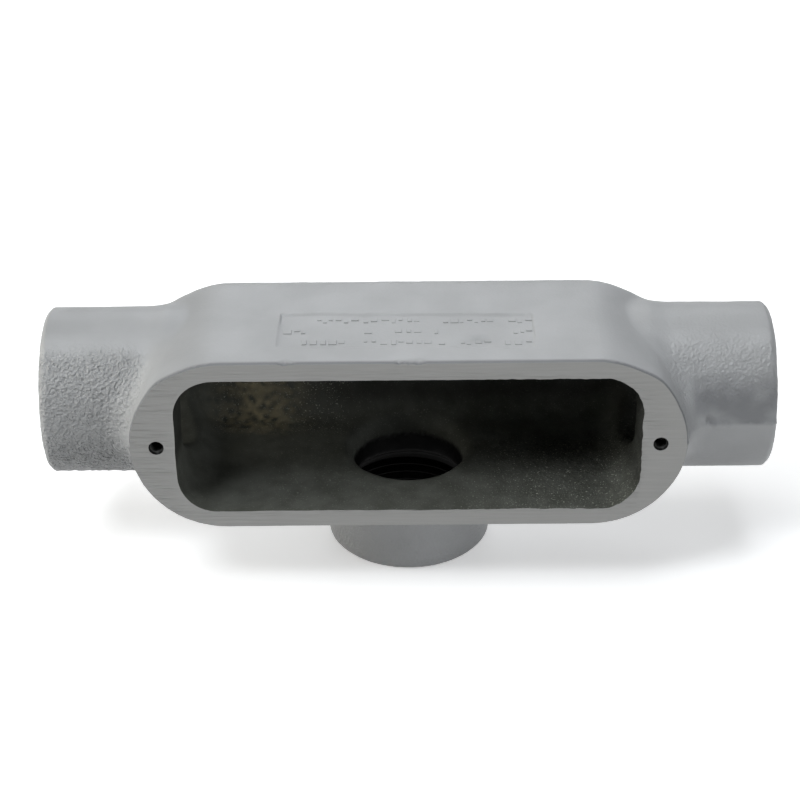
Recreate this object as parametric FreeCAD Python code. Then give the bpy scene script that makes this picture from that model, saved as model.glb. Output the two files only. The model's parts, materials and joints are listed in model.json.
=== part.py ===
import FreeCAD, Part
import math
import os

# Conduit body, type T, 1 inch trade size: one malleable iron casting, machined on its cover face,
# in its three tapped hubs and in its two cover-screw holes.
#
# Millimetres. The origin is the centre of the branch hub's mouth, which points down (-Z) and is
# what the body stands on. The two run hubs lie along X, and the cover opening faces -Y.

# Hubs: all three have the same outside and the same passage
HUB_DIAMETER = 39.0          # outside of each hub
RUN_LENGTH = 170.0           # mouth to mouth of the two run hubs
BRANCH_DROP = 39.8           # axis of the run down to the branch hub's mouth
MOUTH_EDGE = 1.2             # bevel round the outside of each mouth

# Body: a full-round slot shape seen from the front, the same all the way back
FACE_LENGTH = 127.0          # cover face, along the run
BODY_OVER_HUB = 2.1          # body above and below the run hubs
BODY_BEFORE_HUB = 8.5        # cover face in front of the hubs
BODY_BEHIND_HUB = 0.2        # back wall behind the hubs
BACK_EDGE_RADIUS = 9.5       # outside, all round the back
FACE_EDGE = 0.8              # bevel round the outside of the cover face
HUB_BLEND_RADIUS = 7.0       # cast blend where each hub grows out of the body

# Cavity: drafted, so it narrows towards the back
LIP_HEIGHT = 4.45            # cover face above and below the opening
LIP_END = 10.5               # cover face beyond each end of the opening, which holds a screw
OPENING_CORNER_RADIUS = 9.1
DRAFT_ANGLE = 1.5            # degrees, on every side wall of the cavity
BACK_WALL = 4.2
CAVITY_EDGE_RADIUS = 5.5     # inside, all round the back wall

# Passage through each hub: taper-thread bore, then a smooth throat with a rounded inlet, which is
# the bushing that wires are pulled over
THREAD_BORE_DIAMETER = 29.4  # tapping bore of the 1 inch taper pipe thread
THREAD_DEPTH = 12.6          # mouth to the end of the tapping bore
MOUTH_CHAMFER = 1.4
THROAT_DIAMETER = 26.6
INLET_RADIUS = 3.0

# Cover screws: two blind holes on the run's axis line, tapped for number 8 screws
SCREW_SPACING = 114.5
SCREW_HOLE_DIAMETER = 3.45
SCREW_HOLE_DEPTH = 9.5
SCREW_MOUTH_CHAMFER = 0.4
DRILL_POINT_ANGLE = 118.0    # degrees, at the bottom of each screw hole

# Worked out from the sizes above
X = FreeCAD.Vector(1, 0, 0)
Y = FreeCAD.Vector(0, 1, 0)
Z = FreeCAD.Vector(0, 0, 1)
RUN_CENTRE = FreeCAD.Vector(0, 0, BRANCH_DROP)
HUB_RADIUS = HUB_DIAMETER / 2
FACE_HEIGHT = HUB_DIAMETER + 2 * BODY_OVER_HUB
FACE_Y = -(HUB_RADIUS + BODY_BEFORE_HUB)
BACK_Y = HUB_RADIUS + BODY_BEHIND_HUB
CAVITY_BACK_Y = BACK_Y - BACK_WALL
THROAT_RADIUS = THROAT_DIAMETER / 2
THREAD_BORE_RADIUS = THREAD_BORE_DIAMETER / 2
OPENING_HALF_LENGTH = FACE_LENGTH / 2 - LIP_END
OPENING_HALF_HEIGHT = FACE_HEIGHT / 2 - LIP_HEIGHT
# Each hub as the distance from the run's centre to its mouth, and the way that mouth points
HUBS = ((RUN_LENGTH / 2, X), (RUN_LENGTH / 2, -X), (BRANCH_DROP, -Z))

# How the model is worked: no size of the casting depends on these
OVERCUT = 1.0                # how far a cut runs past the surface that it opens
SAME_PLACE = 1e-3            # points nearer to each other than this are one
EDGE_SAMPLES = 9             # points tried along an edge


def slot_wire(half_length, half_height, corner_radius, y):
    """A rectangle with round corners, centred on the run's axis, in the plane at y."""
    straight_x = half_length - corner_radius
    straight_z = half_height - corner_radius
    corners = []
    for quarter, (side_x, side_z) in enumerate(((1, 1), (-1, 1), (-1, -1), (1, -1))):
        centre = RUN_CENTRE + FreeCAD.Vector(side_x * straight_x, y, side_z * straight_z)
        angles = [math.pi / 2 * (quarter + share) for share in (0, 0.5, 1)]
        corners.append([centre + (X * math.cos(a) + Z * math.sin(a)) * corner_radius for a in angles])
    edges = []
    for corner, following in zip(corners, corners[1:] + corners[:1]):
        edges.append(Part.Arc(*corner).toShape())
        if (following[0] - corner[-1]).Length > SAME_PLACE:
            edges.append(Part.LineSegment(corner[-1], following[0]).toShape())
    return Part.Wire(edges)


def revolved(profile, start, axis):
    """A solid turned from (distance along the axis, radius) points, about the axis at start."""
    side = Y if abs(axis.dot(Y)) < 0.5 else X
    points = [start + axis * along + side * radius for along, radius in profile]
    wire = Part.makePolygon(points + points[:1])
    return Part.Face(wire).revolve(start, axis, 360)


def edges_matching(shape, test):
    """The shape's edges on which every sampled point passes the test."""
    return [edge for edge in shape.Edges if all(test(point) for point in edge.discretize(EDGE_SAMPLES))]


def edges_in_plane(shape, y):
    """The shape's edges that lie in the plane at y."""
    return edges_matching(shape, lambda point: abs(point.y - y) < SAME_PLACE)


def edges_round_hub(shape, axis, radius, nearest, furthest):
    """The edges that go round a hub's axis at a radius, between two distances from the run's centre."""
    def test(point):
        offset = point - RUN_CENTRE
        along = offset.dot(axis)
        off_axis = (offset - axis * along).Length
        return abs(off_axis - radius) < SAME_PLACE and nearest <= along <= furthest

    def runs_along(edge):
        ends = edge.valueAt(edge.LastParameter) - edge.valueAt(edge.FirstParameter)
        return ends.Length > SAME_PLACE and ends.normalize().cross(axis).Length < SAME_PLACE
    return [edge for edge in edges_matching(shape, test) if not runs_along(edge)]


def outside():
    """The casting's outside: the body, its three hubs, their blends and the bevelled edges."""
    outline = slot_wire(FACE_LENGTH / 2, FACE_HEIGHT / 2, FACE_HEIGHT / 2, FACE_Y)
    shape = Part.Face(outline).extrude(Y * (BACK_Y - FACE_Y))
    shape = shape.makeFillet(BACK_EDGE_RADIUS, edges_in_plane(shape, BACK_Y))
    for reach, axis in HUBS:
        shape = shape.fuse(Part.makeCylinder(HUB_RADIUS, reach, RUN_CENTRE, axis))
    shape = shape.removeSplitter()
    for reach, axis in HUBS:
        root = edges_round_hub(shape, axis, HUB_RADIUS, SAME_PLACE, reach - MOUTH_EDGE)
        shape = shape.makeFillet(HUB_BLEND_RADIUS, root)
    for reach, axis in HUBS:
        mouth = edges_round_hub(shape, axis, HUB_RADIUS, reach - SAME_PLACE, reach + SAME_PLACE)
        shape = shape.makeChamfer(MOUTH_EDGE, mouth)
    return shape.makeChamfer(FACE_EDGE, edges_in_plane(shape, FACE_Y))


def cavity():
    """The space inside the body, drafted from the opening to the back wall."""
    slope = math.tan(math.radians(DRAFT_ANGLE))

    def section(y):
        inset = slope * (y - FACE_Y)
        return slot_wire(OPENING_HALF_LENGTH - inset, OPENING_HALF_HEIGHT - inset,
                         OPENING_CORNER_RADIUS - inset, y)
    space = Part.makeLoft([section(FACE_Y - OVERCUT), section(CAVITY_BACK_Y)], True, True)
    return space.makeFillet(CAVITY_EDGE_RADIUS, edges_in_plane(space, CAVITY_BACK_Y))


def passage(reach, axis):
    """The bore through one hub, from past its mouth to the run's centre."""
    mouth_radius = THREAD_BORE_RADIUS + MOUTH_CHAMFER
    bore_end = reach - THREAD_DEPTH
    throat_end = bore_end - (THREAD_BORE_RADIUS - THROAT_RADIUS)
    profile = ((0, 0),
               (0, THROAT_RADIUS),
               (throat_end, THROAT_RADIUS),
               (bore_end, THREAD_BORE_RADIUS),
               (reach - MOUTH_CHAMFER, THREAD_BORE_RADIUS),
               (reach, mouth_radius),
               (reach + OVERCUT, mouth_radius),
               (reach + OVERCUT, 0))
    return revolved(profile, RUN_CENTRE, axis)


def inside():
    """Everything that is cut from the casting behind its openings, with the rounded inlets."""
    space = cavity()
    for reach, axis in HUBS:
        space = space.fuse(passage(reach, axis))
    space = space.removeSplitter()
    for reach, axis in HUBS:
        inlet = edges_round_hub(space, axis, THROAT_RADIUS, SAME_PLACE, reach - THREAD_DEPTH - INLET_RADIUS)
        space = space.makeFillet(INLET_RADIUS, inlet)
    return space


def screw_hole(side):
    """One tapped hole in the cover face, with its mouth chamfer and drill point."""
    radius = SCREW_HOLE_DIAMETER / 2
    mouth_radius = radius + SCREW_MOUTH_CHAMFER
    point_depth = radius / math.tan(math.radians(DRILL_POINT_ANGLE / 2))
    start = RUN_CENTRE + FreeCAD.Vector(side * SCREW_SPACING / 2, FACE_Y, 0)
    profile = ((-OVERCUT, 0),
               (-OVERCUT, mouth_radius),
               (0, mouth_radius),
               (SCREW_MOUTH_CHAMFER, radius),
               (SCREW_HOLE_DEPTH, radius),
               (SCREW_HOLE_DEPTH + point_depth, 0))
    return revolved(profile, start, Y)


def conduit_body():
    """The finished casting, one solid."""
    shape = outside().cut(inside())
    for side in (-1, 1):
        shape = shape.cut(screw_hole(side))
    return shape.removeSplitter()


def main():
    os.makedirs("parts", exist_ok=True)
    part = conduit_body()
    assert part.isValid() and len(part.Solids) == 1
    part.Solids[0].exportStep("parts/conduit_body.step")
    print("volume", round(part.Volume), "cubic mm, faces", len(part.Faces))


main()
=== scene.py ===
"""The looks of a 1 inch type T conduit body: a sand cast iron fitting in aluminium-grey enamel."""
import json
import math

import bmesh
import bpy
import numpy as np
from mathutils import Matrix, Vector


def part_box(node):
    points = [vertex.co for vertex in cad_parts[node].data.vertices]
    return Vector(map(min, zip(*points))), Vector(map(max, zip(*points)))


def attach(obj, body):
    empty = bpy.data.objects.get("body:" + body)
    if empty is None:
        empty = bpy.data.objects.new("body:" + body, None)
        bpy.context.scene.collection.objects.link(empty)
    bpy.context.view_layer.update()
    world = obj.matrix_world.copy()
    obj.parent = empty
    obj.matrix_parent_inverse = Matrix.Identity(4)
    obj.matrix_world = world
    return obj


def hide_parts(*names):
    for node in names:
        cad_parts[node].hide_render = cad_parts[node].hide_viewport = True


MM = 0.001
SEED = 11

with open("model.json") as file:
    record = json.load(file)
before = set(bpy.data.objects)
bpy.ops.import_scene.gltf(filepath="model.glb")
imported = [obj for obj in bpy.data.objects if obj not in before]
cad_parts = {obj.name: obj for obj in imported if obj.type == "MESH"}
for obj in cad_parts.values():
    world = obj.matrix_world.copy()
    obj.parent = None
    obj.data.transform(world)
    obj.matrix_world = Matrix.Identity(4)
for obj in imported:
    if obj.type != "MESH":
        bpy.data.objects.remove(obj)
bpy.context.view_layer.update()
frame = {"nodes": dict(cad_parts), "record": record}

# Sizes of the casting in metres, in the frame's own axes
LOW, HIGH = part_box("conduit_body")
MOUNTS = {mount["name"]: mount for mount in frame["record"]["mounts"]}
FACE_Y = MOUNTS["cover_face"]["pos_m"][1]
AXIS_Z = MOUNTS["cover_screws"]["pos_m"][2]
BORE_RADIUS = MOUNTS["branch_hub"]["dims"]["r_mm"] * MM
SCREW_SPACING = MOUNTS["cover_screws"]["dims"]["spacing_x_mm"] * MM
SCREW_RADIUS = MOUNTS["cover_screws"]["dims"]["hole_r_mm"] * MM
OPENING_HALF_LENGTH = 53.0 * MM
OPENING_HALF_HEIGHT = 17.15 * MM
OPENING_CORNER_RADIUS = 9.1 * MM

# Where the insides lie, in millimetres from the middle of the run's axis
WALL_ROOM = 1.3              # past the opening's outline, for the draft and the rough skin
WIRING_BACK = 16.8
RUN_PASSAGE_START, RUN_PASSAGE_RADIUS = 50, 16.6
BRANCH_PASSAGE_START, BRANCH_PASSAGE_RADIUS = 15, 16.4
RUN_BORE_START, BRANCH_BORE_START = 71.5, 26.5
# Where the painted shade in the throats starts and is full, and where it fades out towards the mouths
RUN_THROAT, BRANCH_THROAT = (56, 57.5), (20.2, 21.4)
RUN_MOUTH, BRANCH_MOUTH = (74, 83), (29, 38)

# Zones of the skin in millimetres from the same place: (where each starts, where it is full)
LEFT_HUB = (58, 64)
RIGHT_HUB = (56, 62)
BRANCH_HUB = (22, 26)
CROWN = (13.5, 18)
UNDERSIDE = (15, 20)
BACK_SIDE = (8, 15)
FACE_LEFT_END = (44, 54)
PARTING = (58, 64)

# Lumps and pits along the parting line of the right hub, in millimetres: (along, above, height)
PARTING_Y = -19.4
PARTING_LUMP_RADIUS = 1.1
PARTING_LUMPS = (
    (66.6, -0.2, -0.8),
    (67.8, 0.9, 0.6),
    (69.2, 1.4, -0.6),
    (70.8, 0.2, 0.7),
    (74.0, -0.2, 0.3),
)

# Nicks in the top edge of the cover face, in millimetres: (place along the run, width, depth)
EDGE_Y = -27.6
EDGE_PITS = (
    (-27.5, 1.3, 0.45),
    (-25.9, 0.8, 0.3),
    (-1.9, 0.9, 0.5),
    (0.3, 1.2, 0.3),
    (2.4, 1.3, 0.5),
)

# What makes the blends between body and run hubs fuller on top, in millimetres
NECK_X, NECK_REACH, NECK_FILL = 56.3, 3, 0.5

# Marks in the paint, in millimetres: a dark smudge on the top, and a brown patch inside, rusty and made
# light enough to stand in for light falling on it (painted light)
TOP_START = 20
SMUDGE_PLACE, SMUDGE_SIZE = (16, -16.5), (2.2, 1.6)
BROWN_X, BROWN_REACH = -37, 8

# The mesh of the raw casting
VOXEL = 0.45 * MM
SAME_PLACE = 0.002 * MM
GRIND_STOCK = 1.0 * MM       # what is cast in front of the cover face and then ground away
TRIANGLES = 140000
SHARP_ANGLE = math.radians(35)
FACE_TOLERANCE = 0.02 * MM   # how near the cover face's plane a ground point lies
SCREW_HOLE_ROOM = 0.2 * MM   # past the screw hole's radius, for what its thread's faces reach

# Corners of one thread: (share of the pitch, share of the tooth's height)
THREAD_PROFILE = ((0.0, 0), (0.06, 0), (0.5, 1), (0.56, 1))

# Taper pipe thread, 1-11.5
PIPE_PITCH = 25.4 / 11.5 * MM
PIPE_MOUTH_RADIUS = 16.6 * MM
PIPE_TAPER = 1 / 32          # what the radius loses over each unit of depth
PIPE_FULL_DEPTH = 9.8 * MM
PIPE_DEPTH = 12.6 * MM
PIPE_CORE_RADIUS = BORE_RADIUS - 0.1 * MM
PIPE_NOSE = 1.0 * MM         # length of the tap's narrowed end
PIPE_NOSE_DROP = 1.6 * MM    # what its radius loses there
PIPE_RUNOUT = 3.1 * MM       # what the teeth lose where the tap ends
THROAT_START = 21.0 * MM     # below the run's axis, where the rolled edge ends
THROAT_REACH = 57.0 * MM

# Cover screw thread, near number 6-32, inside the solid's plain hole
SCREW_PITCH = 25.4 / 32 * MM
SCREW_CREST_RADIUS = 1.42 * MM
SCREW_CORE_RADIUS = SCREW_CREST_RADIUS - 0.06 * MM
SCREW_RUNOUT = 0.5 * MM      # what the teeth lose where the tap ends
SCREW_DEPTH = 9.5 * MM
SCREW_CHAMFER = 0.3 * MM
SCREW_POINT = 1.0 * MM
BURR_RADIUS = 0.32 * MM      # of a burr in the mouth of the right-hand hole
BURR_LENGTH = 0.5 * MM

# Sunk panel on the top with rows of plain raised bars, in millimetres from its centre
PANEL_CENTRE = (-0.3, -12.6)
PANEL_HALF_SIZE = (29.2, 8.2)
PANEL_TURN = math.radians(-0.9)
PANEL_DEPTH = 0.35
PANEL_SIDES = (-0.35, 0.1)   # how far in and out of the edge its sides slope
BAR_SHAPES = ((0.0, 1.9), (-0.5, 0.8), (0.3, 1.3), (0.6, 0.7))     # (place across the row, depth)
BAR_WIDTHS = (0.7, 1.8)
BAR_GAP = 0.85
BAR_SINK = (0.13, 0.22)      # how far the bars' tops are below the top of the casting
BAR_ROWS = (
    (5.1, ((-20.5, 3.0), (8.5, 20.0), (23.5, 28.0))),
    (-0.2, ((-28.0, -22.5), (-9.5, -7.5), (-2.5, 2.0), (6.5, 8.5), (24.5, 28.5))),
    (-5.5, ((-23.5, -13.0), (-9.5, 4.5), (7.5, 9.5), (12.5, 20.0), (22.5, 28.5))),
)


# ---------------------------------------------------------------- noise

def lattice_value(cells, seed):
    """A repeatable number from -1 to 1 for each whole-number cell."""
    mixed = cells[:, 0] * np.uint64(73856093)
    mixed ^= cells[:, 1] * np.uint64(19349663)
    mixed ^= cells[:, 2] * np.uint64(83492791)
    mixed ^= np.uint64(seed * 2654435761 % 2**32)
    for shift, factor in ((16, 2246822519), (13, 3266489917), (16, 668265263)):
        mixed &= np.uint64(2**32 - 1)
        mixed ^= mixed >> np.uint64(shift)
        mixed *= np.uint64(factor)
    mixed &= np.uint64(2**32 - 1)
    return mixed.astype(float) / 2**31 - 1


def noise(points, size, seed):
    """Smooth noise from -1 to 1 at each point, with lumps about as large as size. Each seed gives a
    pattern of its own."""
    turn = np.array(Matrix.Rotation(0.7 + seed, 3, Vector((1, 2, 3))))
    places = points @ turn.T / size + 1000
    cells = np.floor(places)
    part = places - cells
    part = part ** 3 * (part * (part * 6 - 15) + 10)
    cells = cells.astype(np.uint64)
    total = np.zeros(len(points))
    for corner in np.ndindex(2, 2, 2):
        weight = np.prod(np.where(corner, part, 1 - part), axis=1)
        total += weight * lattice_value(cells + np.array(corner, np.uint64), SEED + seed)
    return total


def bump(points, place, radius, height):
    """A smooth round lump on the surface at a place."""
    distance = np.linalg.norm(points - np.array(place), axis=1) / radius
    return height * np.exp(-2 * distance ** 2)


def ramp(value, start, end):
    """From 0 at start to 1 at end, eased at both."""
    share = np.clip((value - start) / (end - start), 0, 1)
    return share ** 2 * (3 - 2 * share)


# ---------------------------------------------------------------- meshes

def new_object(name, vertices, faces):
    """A mesh object in the scene."""
    mesh = bpy.data.meshes.new(name)
    mesh.from_pydata([tuple(vertex) for vertex in vertices], [], faces)
    mesh.update()
    obj = bpy.data.objects.new(name, mesh)
    bpy.context.scene.collection.objects.link(obj)
    return obj


def apply_modifier(obj, kind, **settings):
    """Puts what one modifier makes of the object in place of its mesh."""
    modifier = obj.modifiers.new(kind, kind)
    for name, value in settings.items():
        setattr(modifier, name, value)
    graph = bpy.context.evaluated_depsgraph_get()
    graph.update()
    made = bpy.data.meshes.new_from_object(obj.evaluated_get(graph))
    obj.modifiers.clear()
    before = obj.data
    obj.data = made
    bpy.data.meshes.remove(before)


def combine(obj, tool, operation):
    """Cuts a tool from obj or joins it to obj, and removes the tool."""
    apply_modifier(obj, "BOOLEAN", object=tool, operation=operation, solver="MANIFOLD")
    bpy.data.meshes.remove(tool.data)


def values_of(items, key, width=3):
    """One number or vector of each vertex or face, as an array."""
    values = np.empty(len(items) * width)
    items.foreach_get(key, values)
    return values.reshape(-1, width) if width > 1 else values


def box_between(name, low, high):
    """A closed box from its lowest to its highest corner."""
    corners = [(x, y, z) for x in (low[0], high[0]) for y in (low[1], high[1]) for z in (low[2], high[2])]
    faces = [(0, 1, 3, 2), (4, 6, 7, 5), (0, 4, 5, 1), (2, 3, 7, 6), (0, 2, 6, 4), (1, 5, 7, 3)]
    return new_object(name, corners, faces)


def drafted_bar(name, middle, half, low, high):
    """A low bar on a level surface, with sides that lean in as those of a cast mark do."""
    lean = 0.4 * (high - low)
    corners = []
    for z, spread in ((low, lean), (high, 0)):
        for across, along in ((-1, -1), (1, -1), (1, 1), (-1, 1)):
            x = middle.x + across * (half.x + spread)
            y = middle.y + along * (half.y + spread)
            corners.append((x, y, z))
    faces = [(3, 2, 1, 0), (4, 5, 6, 7), (0, 1, 5, 4), (1, 2, 6, 5), (2, 3, 7, 6), (3, 0, 4, 7)]
    return new_object(name, corners, faces)


def sides_of(axis):
    """Two directions square to an axis and to each other."""
    first = axis.orthogonal().normalized()
    return first, axis.cross(first)


def turned(name, place, axis, rings, segments=64):
    """A closed solid of revolution through rings, each (distance along the axis, radius)."""
    first, second = sides_of(axis)
    vertices = []
    for along, radius in rings:
        for step in range(segments):
            angle = 2 * math.pi * step / segments
            spoke = first * math.cos(angle) + second * math.sin(angle)
            vertices.append(place + axis * along + spoke * radius)
    faces = [tuple(reversed(range(segments)))]
    for ring in range(len(rings) - 1):
        for step in range(segments):
            here = ring * segments + step
            beside = ring * segments + (step + 1) % segments
            faces.append((here, beside, beside + segments, here + segments))
    start = (len(rings) - 1) * segments
    faces.append(tuple(range(start, start + segments)))
    return new_object(name, vertices, faces)


def tap(name, mouth, inward, pitch, core, root, depth, segments):
    """A closed tool in the shape of a tap. core(depth) is its radius between the teeth and root(depth)
    that of the teeth's tips. It starts one turn before the mouth."""
    first, second = sides_of(inward)
    rows = len(THREAD_PROFILE)
    last_row = rows * math.ceil(depth / pitch)
    vertices = []
    places = {}
    for row in range(-rows, last_row + 1):
        turns, corner = divmod(row, rows)
        share_of_pitch, share_of_tooth = THREAD_PROFILE[corner]
        closing = row + rows > last_row
        for step in range(segments + closing):
            turn = step / segments
            along = pitch * (turns + share_of_pitch + turn)
            tooth = max(root(along) - core(along), 0)
            radius = core(along) + share_of_tooth * tooth
            spoke = first * math.cos(2 * math.pi * turn) + second * math.sin(2 * math.pi * turn)
            places[row, step] = len(vertices)
            vertices.append(mouth + inward * along + spoke * radius)
    for row in range(-rows, last_row + 1 - rows):
        places[row, segments] = places[row + rows, 0]

    faces = []
    for row in range(-rows, last_row):
        for step in range(segments):
            below = places[row, step], places[row, step + 1]
            above = places[row + 1, step + 1], places[row + 1, step]
            faces.append(below + above)
    front = [places[-rows, step] for step in range(segments + 1)]
    front += [places[row, 0] for row in range(-1, -rows, -1)]
    back = [places[last_row, step] for step in range(segments + 1)]
    back += [places[row, segments] for row in range(last_row - 1, last_row - rows, -1)]
    for loop, along, flipped in ((front, -2 * pitch, True), (back, depth, False)):
        centre = len(vertices)
        vertices.append(mouth + inward * along)
        for here, beside in zip(loop, loop[1:] + loop[:1]):
            faces.append((beside, here, centre) if flipped else (here, beside, centre))
    return new_object(name, vertices, faces)


# ---------------------------------------------------------------- the casting

def blank_casting():
    """The CAD casting with stock on its cover face and no screw holes, as a fine even mesh."""
    source = frame["nodes"]["conduit_body"]
    mesh = source.data.copy()
    mesh.transform(source.matrix_world)
    casting = bpy.data.objects.new("casting", mesh)
    bpy.context.scene.collection.objects.link(casting)
    edit = bmesh.new()
    edit.from_mesh(mesh)
    bmesh.ops.remove_doubles(edit, verts=edit.verts, dist=SAME_PLACE)
    for vertex in edit.verts:
        if vertex.co.y < FACE_Y + SAME_PLACE:
            vertex.co.y -= GRIND_STOCK
    edit.to_mesh(mesh)
    edit.free()
    radius = 1.5 * SCREW_RADIUS
    for side in (-1, 1):
        place = Vector((side * SCREW_SPACING / 2, FACE_Y - 1.2 * GRIND_STOCK, AXIS_Z))
        length = SCREW_DEPTH + 3 * SCREW_POINT
        plug = turned("plug", place, Vector((0, 1, 0)), ((0, radius), (length, radius)))
        combine(casting, plug, "UNION")
    apply_modifier(casting, "REMESH", mode="VOXEL", voxel_size=VOXEL)
    return casting


def part_axes(points):
    """The coordinates of points in millimetres, with z from the run's axis."""
    x, y, z = (points / MM).T
    return x, y, z - AXIS_Z / MM


def regions(points):
    """Which points are in the wiring space or a passage, and which of those are in a hub's bore."""
    x, y, z = part_axes(points)
    from_run = np.hypot(y, z)
    from_branch = np.hypot(x, y)
    corner = OPENING_CORNER_RADIUS / MM
    past_corner = np.hypot(
        np.maximum(abs(x) - OPENING_HALF_LENGTH / MM + corner, 0),
        np.maximum(abs(z) - OPENING_HALF_HEIGHT / MM + corner, 0),
    )
    wiring = (past_corner < corner + WALL_ROOM) & (y < WIRING_BACK)
    run = (abs(x) > RUN_PASSAGE_START) & (from_run < RUN_PASSAGE_RADIUS)
    branch = (z < -BRANCH_PASSAGE_START) & (from_branch < BRANCH_PASSAGE_RADIUS)
    bore = (run & (abs(x) > RUN_BORE_START)) | (branch & (z < -BRANCH_BORE_START))
    return wiring | run | branch, bore


def grain_outside(points):
    """How sandy the outer skin is: most on the left hub below its crown, least on top."""
    x, y, z = part_axes(points)
    below_crown = 1 - ramp(z, *CROWN)
    left = ramp(-x, *LEFT_HUB) * (0.05 + 0.95 * below_crown + 0.6 * ramp(-z, 0, 8))
    right = ramp(x, *RIGHT_HUB) * (0.12 + 0.38 * below_crown * ramp(z, 4, 8))
    branch = ramp(-z, *BRANCH_HUB) * (0.15 + 0.35 * ramp(-x, -2, 10))
    body = 0.05 + 0.3 * ramp(-z, *UNDERSIDE) + 0.3 * ramp(y, *BACK_SIDE)
    outside = np.maximum(np.maximum(left, right), np.maximum(branch, body))
    return np.where(y < FACE_Y / MM + 0.05, ramp(-x, *FACE_LEFT_END), outside)


def grain_inside(points):
    """How sandy the wiring space is: most at the right of its floor and at the left of its back."""
    x, y, _ = part_axes(points)
    floor = 0.12 + 0.13 * ramp(x, -36, -30) + 0.75 * ramp(x, 5, 36) * ramp(-y, -8, 6)
    back = 0.1 + 0.9 * ramp(-x, 8, 20) * (1 - ramp(-x, 46, 49)) * ramp(y, 3, 9)
    return np.maximum(floor, back)


def grain_of(points):
    """How sandy the skin is at each point, from 0 for smooth to 1 and a little above."""
    inside, bore = regions(points)
    skin = np.where(inside, grain_inside(points), grain_outside(points))
    return np.where(bore, 0, skin)


def painted_shade_and_smudge_outside(points):
    """How dark the enamel is painted: painted shade in a strip on the right hub, a painted shadow line
    round the cover face, and one dark smudge.
    """
    x, y, z = part_axes(points)
    uneven = np.clip(0.8 + 0.5 * noise(points, 3 * MM, 11), 0, 1)
    # Painted shade: darker enamel in a strip on the right hub, where the body shades it
    painted_shade_band = ramp(x, 64, 66.5) * ramp(z, -0.4, 0.6) * (1 - ramp(z, 7, 14)) * ramp(-y, 4, 12) * uneven
    # Painted shadow: a dark line in the enamel all round the cover face's edge
    edge = 1 - ramp(y, FACE_Y / MM + 0.5, FACE_Y / MM + 1.0)
    along = (x - SMUDGE_PLACE[0]) / SMUDGE_SIZE[0]
    across = (y - SMUDGE_PLACE[1]) / SMUDGE_SIZE[1]
    smudge = 0.5 * np.exp(-along ** 2 - across ** 2) * (z > TOP_START)
    return np.maximum(np.maximum(0.9 * painted_shade_band, edge), smudge)


def painted_shade_inside(points):
    """Painted shade inside: black deep in the throats and fading out towards the mouths, painted shade
    above on the right, and a painted shadow on the higher part of the end walls.
    """
    x, _, z = part_axes(points)
    # Painted shade: black deep in the bores, fading out towards their mouths
    throat = np.maximum(ramp(-z, *BRANCH_THROAT), ramp(abs(x), *RUN_THROAT))
    mouth = np.maximum(ramp(-z, *BRANCH_MOUTH), ramp(abs(x), *RUN_MOUTH))
    # Painted shade in the higher part of the wiring space, under its top wall, all but its left end
    painted_shade_above = 0.55 * ramp(z, -15, -10) * ramp(x, -28, -8)
    # Painted shadow on the higher part of both end walls of the wiring space
    painted_shadow_end_wall = 0.7 * ramp(abs(x), 50.3, 51.3) * ramp(z, -8, -2)
    wiring = np.maximum(painted_shade_above, painted_shadow_end_wall) * (throat == 0)
    return np.maximum(np.where(mouth > 0, 1 - mouth, throat), wiring)


def painted_shade_and_smudge_of(points):
    """How dark each point is from painted shade and one smudge outside and from painted shade inside,
    from 0 to 1.
    """
    inside = regions(points)[0]
    return np.where(inside, painted_shade_inside(points), painted_shade_and_smudge_outside(points))


def rust_and_painted_light_of(points):
    """How much of the brown patch each point of the wiring space gets, from 0 to 1: a rusty tint, made
    light to stand in for light falling on that wall (painted light).
    """
    x, y, z = part_axes(points)
    # Painted light: a light brown patch on the back wall, partly a rusty tint
    patch = np.exp(-((x - BROWN_X) / BROWN_REACH) ** 2) * ramp(y, 3, 13) * (1 - ramp(z, -9, -3))
    return patch * np.clip(0.55 + 0.7 * noise(points, 1.2 * MM, 10), 0, 1)


def parting_line(points):
    """The ragged ridge where the mould's halves met, with a step below it, bolder on the right hub."""
    x, _, z = part_axes(points)
    ragged = z + 0.5 * noise(points, 4 * MM, 12)
    ridge = np.exp(-(ragged / 0.55) ** 2) * (0.6 + 0.6 * noise(points, 2.5 * MM, 6))
    ridge = np.where(x > 0, 0.3, 0.08) * ridge + np.where(x > 0, 0.14, 0.04) * (ragged < 0)
    return ridge * ramp(abs(x), *PARTING)


def relief_outside(points):
    """How far each point of the outer skin moves, in millimetres."""
    x, _, z = part_axes(points)
    waves = 0.05 * noise(points, 12 * MM, 1) + 0.03 * noise(points, 5 * MM, 2)
    grain = 0.5 * noise(points, 1.5 * MM, 3) + 0.7 * noise(points, 0.95 * MM, 4)
    streaks = noise(points * np.array((0.45, 1, 1)), 1.8 * MM, 5)
    relief = waves + 0.11 * grain * grain_of(points)
    relief = relief + 0.12 * streaks * ramp(x, 55, 62) * ramp(z, 4, 9) * (1 - ramp(z, 15, 19))
    relief = relief + NECK_FILL * np.exp(-((abs(x) - NECK_X) / NECK_REACH) ** 2) * ramp(z, 4, 12)
    relief = relief + parting_line(points)
    for along, above, height in PARTING_LUMPS:
        place = (along * MM, PARTING_Y * MM, AXIS_Z + above * MM)
        relief = relief + bump(points, place, PARTING_LUMP_RADIUS * MM, height)
    for across, width, depth in EDGE_PITS:
        relief = relief - bump(points, (across * MM, EDGE_Y * MM, HIGH.z), width * MM, depth)
    return relief


def relief_inside(points):
    """How far each point of the wiring space's skin moves, in millimetres."""
    grain = 0.16 * noise(points, 1.6 * MM, 7) + 0.09 * noise(points, 0.95 * MM, 8)
    return grain * grain_of(points) + 0.12 * noise(points, 6 * MM, 9)


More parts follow.
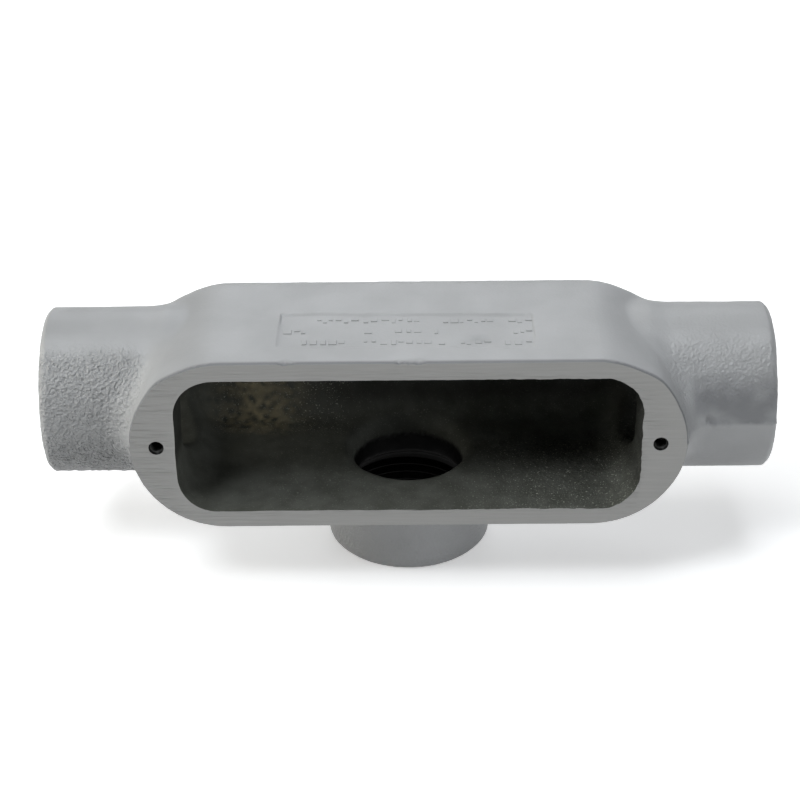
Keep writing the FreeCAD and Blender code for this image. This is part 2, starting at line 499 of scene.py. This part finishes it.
def relief_of(points):
    """How far the texture of the sand mould moves each point of the casting along its normal."""
    inside, bore = regions(points)
    amount = np.where(inside, relief_inside(points), relief_outside(points))
    return np.where(bore, 0, amount) * MM


def press_panel(points):
    """How far down each point of the top goes, so that the panel is sunk between sharp sides."""
    centre = np.array(PANEL_CENTRE)
    flat = points[:, :2] / MM - centre
    turn = np.array(Matrix.Rotation(PANEL_TURN, 2))
    along, across = (flat @ turn).T
    edge = np.maximum(abs(along) - PANEL_HALF_SIZE[0], abs(across) - PANEL_HALF_SIZE[1])
    on_top = points[:, 2] > HIGH.z - 1.5 * MM
    return np.where(on_top, PANEL_DEPTH * (1 - ramp(edge, *PANEL_SIDES)), 0) * MM


def roughen(casting):
    """Gives the casting its skin and sunk panel, then takes away the vertices that flat places don't
    need."""
    mesh = casting.data
    points = values_of(mesh.vertices, "co")
    normals = values_of(mesh.vertices, "normal")
    points = points + normals * relief_of(points)[:, None]
    points[:, 2] -= press_panel(points)
    points = np.clip(points, np.array((LOW.x, LOW.y - 2 * GRIND_STOCK, LOW.z)), np.array(HIGH))
    mesh.vertices.foreach_set("co", points.ravel())
    mesh.update()
    apply_modifier(casting, "DECIMATE", ratio=TRIANGLES / (2 * len(mesh.polygons)))


def add_bars(casting):
    """Plain raised bars of mixed widths in the panel, worn nearly level with the top."""
    turn = Matrix.Rotation(PANEL_TURN, 2)
    chance = np.random.default_rng(SEED)
    low = HIGH.z - 3 * PANEL_DEPTH * MM
    for across, groups in BAR_ROWS:
        for start, end in groups:
            along = start
            while along < end:
                width = chance.uniform(*BAR_WIDTHS)
                beside, depth = BAR_SHAPES[chance.integers(len(BAR_SHAPES))]
                middle = turn @ Vector((along + width / 2, across + beside))
                middle = (middle + Vector(PANEL_CENTRE)) * MM
                half = Vector((width, depth)) * MM / 2
                high = HIGH.z - chance.uniform(*BAR_SINK) * MM
                combine(casting, drafted_bar("bar", middle, half, low, high), "UNION")
                along += width + BAR_GAP * chance.uniform(0.5, 1.5)


def grind_face(casting):
    """Cuts the cover face flat."""
    low = (2 * LOW.x, FACE_Y - 5 * GRIND_STOCK, -HIGH.z)
    high = (2 * HIGH.x, FACE_Y, 2 * HIGH.z)
    combine(casting, box_between("grinder", low, high), "DIFFERENCE")


def pipe_core(depth):
    """Radius of the pipe tap between its teeth, just under that of the bore."""
    return PIPE_CORE_RADIUS - PIPE_NOSE_DROP * float(ramp(depth, PIPE_DEPTH - PIPE_NOSE, PIPE_DEPTH))


def pipe_root(depth):
    """Radius of the pipe tap's teeth, which taper and then run out."""
    fade = ramp(depth, PIPE_FULL_DEPTH, PIPE_DEPTH)
    return PIPE_MOUTH_RADIUS - depth * PIPE_TAPER - PIPE_RUNOUT * float(fade)


def thread_hubs(casting):
    """Taps the three hubs."""
    middle = Vector((0, 0, AXIS_Z))
    for outward, reach in (((1, 0, 0), HIGH.x), ((-1, 0, 0), HIGH.x), ((0, 0, -1), AXIS_Z)):
        outward = Vector(outward)
        mouth = middle + outward * reach
        tool = tap("tap", mouth, -outward, PIPE_PITCH, pipe_core, pipe_root, PIPE_DEPTH, 96)
        combine(casting, tool, "DIFFERENCE")


def screw_core(depth):
    """Radius of the screw tap between its teeth, the same all the way."""
    return SCREW_CORE_RADIUS


def screw_root(depth):
    """Radius of the screw tap's teeth, which run out at the end."""
    return SCREW_RADIUS - SCREW_RUNOUT * float(ramp(depth, 0.8 * SCREW_DEPTH, SCREW_DEPTH))


def drill_screw_holes(casting):
    """Drills and taps the two blind holes for the cover's screws, and leaves a burr in the right one."""
    inward = Vector((0, 1, 0))
    slope = (SCREW_RADIUS - SCREW_CREST_RADIUS) / SCREW_CHAMFER
    rings = (
        (-SCREW_CHAMFER, SCREW_RADIUS + slope * SCREW_CHAMFER),
        (SCREW_CHAMFER, SCREW_CREST_RADIUS),
        (SCREW_DEPTH, SCREW_CREST_RADIUS),
        (SCREW_DEPTH + SCREW_POINT, 0.05 * SCREW_CREST_RADIUS),
    )
    for side in (-1, 1):
        mouth = Vector((side * SCREW_SPACING / 2, FACE_Y, AXIS_Z))
        combine(casting, turned("drill", mouth, inward, rings, segments=32), "DIFFERENCE")
        tool = tap("tap", mouth, inward, SCREW_PITCH, screw_core, screw_root, SCREW_DEPTH * 0.93, 32)
        combine(casting, tool, "DIFFERENCE")
    place = Vector((SCREW_SPACING / 2, FACE_Y + 0.1 * MM, AXIS_Z + SCREW_CREST_RADIUS))
    rings = ((0, 0.8 * BURR_RADIUS), (BURR_LENGTH, BURR_RADIUS))
    burr = turned("burr", place, inward, rings, segments=10)
    combine(casting, burr, "UNION")


# ---------------------------------------------------------------- materials

ENAMEL_LIGHT, ENAMEL_DARK = (0.440, 0.446, 0.452), (0.395, 0.400, 0.405)
# Painted shade, and the colour of one smudge, for the enamel
SHADE_AND_SMUDGE_GREY = (0.215, 0.220, 0.228)
FACE_LIGHT, FACE_DARK = (0.420, 0.418, 0.408), (0.380, 0.378, 0.368)
INSIDE_LIGHT, INSIDE_DARK = (0.122, 0.127, 0.112), (0.088, 0.092, 0.079)
# Painted glints on the sand inside
PAINTED_GLINT = (0.62, 0.64, 0.56)
# Rusty brown, light enough to stand in for light on the back wall (painted light)
BROWN_AND_PAINTED_LIGHT = (0.46, 0.40, 0.26)
IRON_LIGHT, IRON_DARK = (0.130, 0.130, 0.125), (0.080, 0.080, 0.076)
# Painted shade: near-black laid into the inside and the threads
PAINTED_SHADE_BLACK = (0.004, 0.004, 0.004)
TONE_STOPS = (0.35, 0.65)    # where a noise gives the dark tone and where the light one

# A Mix node's colour sockets, which share their names with its number sockets
MIX_BEFORE, MIX_AFTER, MIX_RESULT = 6, 7, 2


def node(tree, kind, place, **settings):
    """A new node. Settings name its own options, or its inputs with underscores for spaces."""
    made = tree.nodes.new("ShaderNode" + kind)
    made.location = (place[0] * 200, place[1] * -180)
    for name, value in settings.items():
        if hasattr(made, name):
            setattr(made, name, value)
        else:
            made.inputs[name.replace("_", " ")].default_value = value
    return made


def new_material(name):
    """A material, its node tree and its Principled shader."""
    material = bpy.data.materials.new(name)
    material.use_nodes = True
    tree = material.node_tree
    return material, tree, tree.nodes["Principled BSDF"]


def place_of(tree, place, stretch):
    """Where each point is in the object's own space, times stretch."""
    where = node(tree, "TexCoord", (place[0] - 2, place[1]))
    mapping = node(tree, "Mapping", (place[0] - 1, place[1]))
    mapping.inputs["Scale"].default_value = stretch
    tree.links.new(where.outputs["Object"], mapping.inputs["Vector"])
    return mapping.outputs["Vector"]


def noise_node(tree, place, size, detail=2.0, stretch=(1, 1, 1)):
    """Noise with lumps about as large as size, and its Fac output."""
    made = node(tree, "TexNoise", place, Scale=1 / size, Detail=detail)
    tree.links.new(place_of(tree, place, stretch), made.inputs["Vector"])
    return made.outputs["Fac"]


def cell_node(tree, place, size):
    """Round pits about size apart: 0 in the middle of each, and more towards its rim."""
    made = node(tree, "TexVoronoi", place, Scale=1 / size)
    tree.links.new(place_of(tree, place, (1, 1, 1)), made.inputs["Vector"])
    return made.outputs["Distance"]


def two_tone(tree, source, light, dark):
    """Goes from a dark colour to a light one by a noise."""
    made = node(tree, "ValToRGB", (-3, 0))
    for element, position, colour in zip(made.color_ramp.elements, TONE_STOPS, (dark, light)):
        element.position = position
        element.color = (*colour, 1)
    tree.links.new(source, made.inputs["Fac"])
    return made.outputs["Color"]


def vary_roughness(tree, shader, source, low, high):
    """Gives the shader a roughness from low to high by a noise."""
    made = node(tree, "MapRange", (-3, 2), To_Min=low, To_Max=high)
    tree.links.new(source, made.inputs["Value"])
    tree.links.new(made.outputs["Result"], shader.inputs["Roughness"])


def mix_colour(tree, place, before, colour, amount):
    """Goes from one colour to another by an amount from 0 to 1."""
    made = node(tree, "Mix", place, data_type="RGBA")
    made.inputs[MIX_AFTER].default_value = (*colour, 1)
    tree.links.new(before, made.inputs[MIX_BEFORE])
    tree.links.new(amount, made.inputs["Factor"])
    return made.outputs[MIX_RESULT]


def add_bump(tree, shader, place, source, height, before=None, strength=None):
    """Bump that is height metres deep, on top of the bump that came before."""
    made = node(tree, "Bump", place, Distance=height, Strength=1.0)
    tree.links.new(source, made.inputs["Height"])
    if strength:
        tree.links.new(strength, made.inputs["Strength"])
    if before:
        tree.links.new(before, made.inputs["Normal"])
    tree.links.new(made.outputs["Normal"], shader.inputs["Normal"])
    return made.outputs["Normal"]


def attribute(tree, place, name):
    """A number that the mesh keeps for each point."""
    return node(tree, "Attribute", place, attribute_name=name).outputs["Fac"]


def enamel():
    """Sprayed aluminium-grey enamel: even, faintly metallic and satin, over fine sand, with painted shade
    and one smudge laid into its colour in places.
    """
    material, tree, shader = new_material("aluminium_enamel")
    shader.inputs["Metallic"].default_value = 0.15
    cloud = noise_node(tree, (-4, 0), 14 * MM, 3)
    base = two_tone(tree, cloud, ENAMEL_LIGHT, ENAMEL_DARK)
    # Painted shade and one smudge, laid into the enamel's colour by attribute
    painted_shade_and_smudge_colour = mix_colour(tree, (-2, 0), base, SHADE_AND_SMUDGE_GREY, attribute(tree, (-3, 1), "painted_shade_and_smudge"))
    tree.links.new(painted_shade_and_smudge_colour, shader.inputs["Base Color"])
    fleck = noise_node(tree, (-4, 2), 0.4 * MM, 2)
    vary_roughness(tree, shader, fleck, 0.40, 0.56)
    normal = add_bump(tree, shader, (-2, 3), fleck, 0.02 * MM)
    grain = attribute(tree, (-3, 5), "grain")
    sand = noise_node(tree, (-4, 4), 0.6 * MM, 3)
    normal = add_bump(tree, shader, (-1, 3), sand, 0.70 * MM, normal, grain)
    pits = cell_node(tree, (-4, 6), 0.85 * MM)
    add_bump(tree, shader, (0, 3), pits, 0.35 * MM, normal, grain)
    return material


def ground_face():
    """The cover face: enamel over a face that was ground flat, with fine level scratches."""
    material, tree, shader = new_material("ground_face")
    shader.inputs["Metallic"].default_value = 0.15
    scratches = noise_node(tree, (-4, 0), 0.5 * MM, 3, (0.04, 1, 1))
    gouges = noise_node(tree, (-4, 4), 0.6 * MM, 1, (0.07, 1, 1))
    tree.links.new(two_tone(tree, scratches, FACE_LIGHT, FACE_DARK), shader.inputs["Base Color"])
    vary_roughness(tree, shader, scratches, 0.42, 0.60)
    normal = add_bump(tree, shader, (-2, 3), scratches, 0.03 * MM)
    add_bump(tree, shader, (-1, 3), gouges, 0.6 * MM, normal, attribute(tree, (-3, 5), "grain"))
    return material


def raw_inside():
    """The wiring space: dull paint, thinly laid over rough sand, olive grey, with painted glints as light
    flecks in its colour, a rusty patch with painted light, and painted shade.
    """
    material, tree, shader = new_material("inside")
    shader.inputs["Specular IOR Level"].default_value = 0.15
    cloud = noise_node(tree, (-4, 0), 5 * MM, 4)
    base = two_tone(tree, cloud, INSIDE_LIGHT, INSIDE_DARK)
    # Painted glints: light flecks in the colour where the sand is rough
    painted_glint_noise = noise_node(tree, (-4, -2), 0.38 * MM, 1)
    painted_glint_mask = node(tree, "MapRange", (-3, -2), From_Min=0.63, From_Max=0.80)
    tree.links.new(painted_glint_noise, painted_glint_mask.inputs["Value"])
    sandy = attribute(tree, (-3, 5), "grain")
    share = node(tree, "Math", (-2, -2), operation="MULTIPLY")
    tree.links.new(painted_glint_mask.outputs["Result"], share.inputs[0])
    tree.links.new(sandy, share.inputs[1])
    with_painted_glints = mix_colour(tree, (-2, 0), base, PAINTED_GLINT, share.outputs["Value"])
    # Painted light: the light brown patch, partly a rusty tint
    brown = mix_colour(tree, (-1, 0), with_painted_glints, BROWN_AND_PAINTED_LIGHT, attribute(tree, (-2, -3), "rust_and_painted_light"))
    # Painted shade: near-black by attribute
    with_painted_shade = mix_colour(tree, (0, 0), brown, PAINTED_SHADE_BLACK, attribute(tree, (-1, -2), "painted_shade_and_smudge"))
    tree.links.new(with_painted_shade, shader.inputs["Base Color"])
    grain = noise_node(tree, (-4, 2), 0.8 * MM, 2)
    vary_roughness(tree, shader, grain, 0.60, 0.85)
    add_bump(tree, shader, (-2, 3), grain, 0.25 * MM, strength=sandy)
    return material


def cut_iron():
    """Tapped threads: iron from the tool, blackened deep in the bores by painted shade."""
    material, tree, shader = new_material("cut_iron")
    shader.inputs["Specular IOR Level"].default_value = 0.12
    tone = noise_node(tree, (-4, 0), 2 * MM, 3)
    base = two_tone(tree, tone, IRON_LIGHT, IRON_DARK)
    # Painted shade: near-black by attribute, deep in the bores
    with_painted_shade = mix_colour(tree, (-2, 0), base, PAINTED_SHADE_BLACK, attribute(tree, (-3, 1), "painted_shade_and_smudge"))
    tree.links.new(with_painted_shade, shader.inputs["Base Color"])
    vary_roughness(tree, shader, tone, 0.30, 0.50)
    return material


def paint(casting):
    """Gives each face the material of its place, and each point its grain, its rusty patch with painted
    light, and its painted shade and smudge.
    """
    mesh = casting.data
    mesh.materials.clear()
    for material in (enamel(), ground_face(), raw_inside(), cut_iron()):
        mesh.materials.append(material)
    centres = values_of(mesh.polygons, "center")
    normals = values_of(mesh.polygons, "normal")
    inside = regions(centres)[0]
    x, y, z = centres.T
    throat = inside & ((z < AXIS_Z - THROAT_START) | (abs(x) > THROAT_REACH))
    ground = (y < FACE_Y + FACE_TOLERANCE) & (normals[:, 1] < -0.9)
    from_screw = np.hypot(abs(x) - SCREW_SPACING / 2, z - AXIS_Z)
    in_hole = (from_screw < SCREW_RADIUS + SCREW_HOLE_ROOM) & (y < FACE_Y + 1.2 * SCREW_DEPTH)
    screw = in_hole & ~ground
    kinds = np.where(inside, 2, 0)
    kinds[throat | screw] = 3
    kinds[ground] = 1
    mesh.polygons.foreach_set("material_index", kinds.astype(np.int32))
    mesh.polygons.foreach_set("use_smooth", np.ones(len(kinds), bool))
    mesh.set_sharp_from_angle(angle=SHARP_ANGLE)
    points = values_of(mesh.vertices, "co")
    for name, value_of in (("grain", grain_of), ("rust_and_painted_light", rust_and_painted_light_of), ("painted_shade_and_smudge", painted_shade_and_smudge_of)):
        kept = mesh.attributes.new(name, "FLOAT", "POINT")
        kept.data.foreach_set("value", value_of(points).astype(np.float32))
    mesh.update()
    apply_modifier(casting, "WEIGHTED_NORMAL", keep_sharp=True)


# ---------------------------------------------------------------- the stage

CAMERA_PLACE = Vector((-0.08, -437.2, 284.5)) * MM
CAMERA_YAW = math.radians(-0.24)
CAMERA_PITCH = math.radians(-29.62)
CAMERA_ROLL = math.radians(-0.60)
CAMERA_LENS = 94.6
FLOOR_SIZE = 20.0
FLOOR_GREY = 0.45            # for light that the floor throws back at the casting
FLOOR_GLOW = 0.40            # for background rays only
WORLD_LEVEL = 0.03
LIGHT_TARGET = Vector((0, 0, AXIS_Z))
COOL, WARM = (0.95, 0.975, 1.0), (1.0, 0.975, 0.90)

# Softboxes: (name, place, side, watts, colour)
LIGHTS = (
    ("overhead", (0, 0, 1.24), 0.7, 4.9, COOL),
    ("key", (-0.49, -0.49, 1.02), 0.35, 5.2, COOL),
    ("left_low", (-1.19, 0, 0.17), 0.7, 7.6, WARM),
    ("left_high", (-1.04, 0, 0.64), 0.7, 2.8, WARM),
    ("behind", (0, 1.04, 0.64), 0.7, 2.8, COOL),
    ("behind_right", (0.74, 0.74, 0.64), 0.7, 1.6, COOL),
    ("right", (0.96, -0.67, 0.29), 0.7, 3.2, COOL),
)


def place_camera():
    """Looks at the casting as the photograph does."""
    data = bpy.data.cameras.new("camera")
    data.lens = CAMERA_LENS
    data.sensor_width = 36
    camera = bpy.data.objects.new("camera", data)
    camera.location = CAMERA_PLACE
    turn = Matrix.Rotation(-CAMERA_YAW, 3, "Z") @ Matrix.Rotation(math.pi / 2 + CAMERA_PITCH, 3, "X")
    camera.rotation_euler = (turn @ Matrix.Rotation(CAMERA_ROLL, 3, "Z")).to_euler()
    bpy.context.scene.collection.objects.link(camera)
    bpy.context.scene.camera = camera


def background_rays(tree):
    """1 for rays that show the background, straight, in a gloss or through glass, and 0 for others."""
    path = node(tree, "LightPath", (-5, 0))
    seen = path.outputs["Is Camera Ray"]
    for number, kind in enumerate(("Is Glossy Ray", "Is Transmission Ray")):
        either = node(tree, "Math", (number - 4, 0), operation="MAXIMUM")
        tree.links.new(seen, either.inputs[0])
        tree.links.new(path.outputs[kind], either.inputs[1])
        seen = either.outputs["Value"]
    return seen


def white_floor():
    """A pale matt floor that looks white and keeps the casting's soft shadow."""
    half = FLOOR_SIZE / 2
    corners = [(-half, -half, 0), (half, -half, 0), (half, half, 0), (-half, half, 0)]
    floor = new_object("floor", corners, [(0, 1, 2, 3)])
    material = bpy.data.materials.new("white_floor")
    material.use_nodes = True
    tree = material.node_tree
    tree.nodes.remove(tree.nodes["Principled BSDF"])
    seen = background_rays(tree)
    paper = node(tree, "BsdfDiffuse", (-1, 0))
    tone = node(tree, "MapRange", (-2, 0), To_Min=FLOOR_GREY, To_Max=1.0)
    tree.links.new(seen, tone.inputs["Value"])
    tree.links.new(tone.outputs["Result"], paper.inputs["Color"])
    glow = node(tree, "Emission", (-1, 1))
    strength = node(tree, "MapRange", (-2, 1), To_Max=FLOOR_GLOW)
    strength.name = "floor_glow"
    tree.links.new(seen, strength.inputs["Value"])
    tree.links.new(strength.outputs["Result"], glow.inputs["Strength"])
    both = node(tree, "AddShader", (0, 0))
    tree.links.new(paper.outputs["BSDF"], both.inputs[0])
    tree.links.new(glow.outputs["Emission"], both.inputs[1])
    tree.links.new(both.outputs["Shader"], tree.nodes["Material Output"].inputs["Surface"])
    floor.data.materials.append(material)
    return floor


def soft_light(name, place, size, watts, colour):
    """A square softbox that faces the casting."""
    data = bpy.data.lights.new(name, "AREA")
    data.shape = "SQUARE"
    data.size = size
    data.energy = watts
    data.color = colour
    lamp = bpy.data.objects.new(name, data)
    lamp.location = place
    lamp.rotation_euler = (LIGHT_TARGET - lamp.location).to_track_quat("-Z", "Y").to_euler()
    bpy.context.scene.collection.objects.link(lamp)


def light_studio():
    """Lights the casting from seven softboxes and a weak white world."""
    bpy.context.scene.view_settings.view_transform = "Standard"
    world = bpy.data.worlds.new("studio")
    bpy.context.scene.world = world
    world.use_nodes = True
    backdrop = world.node_tree.nodes["Background"]
    backdrop.inputs["Color"].default_value = (1, 1, 1, 1)
    backdrop.inputs["Strength"].default_value = WORLD_LEVEL
    for light in LIGHTS:
        soft_light(*light)


def main():
    """Makes the dressed casting, sets it in place of the solid and lights it."""
    casting = blank_casting()
    roughen(casting)
    grind_face(casting)
    thread_hubs(casting)
    drill_screw_holes(casting)
    add_bars(casting)
    paint(casting)
    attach(casting, "root")
    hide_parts("conduit_body")
    place_camera()
    floor = white_floor()
    light_studio()


main()
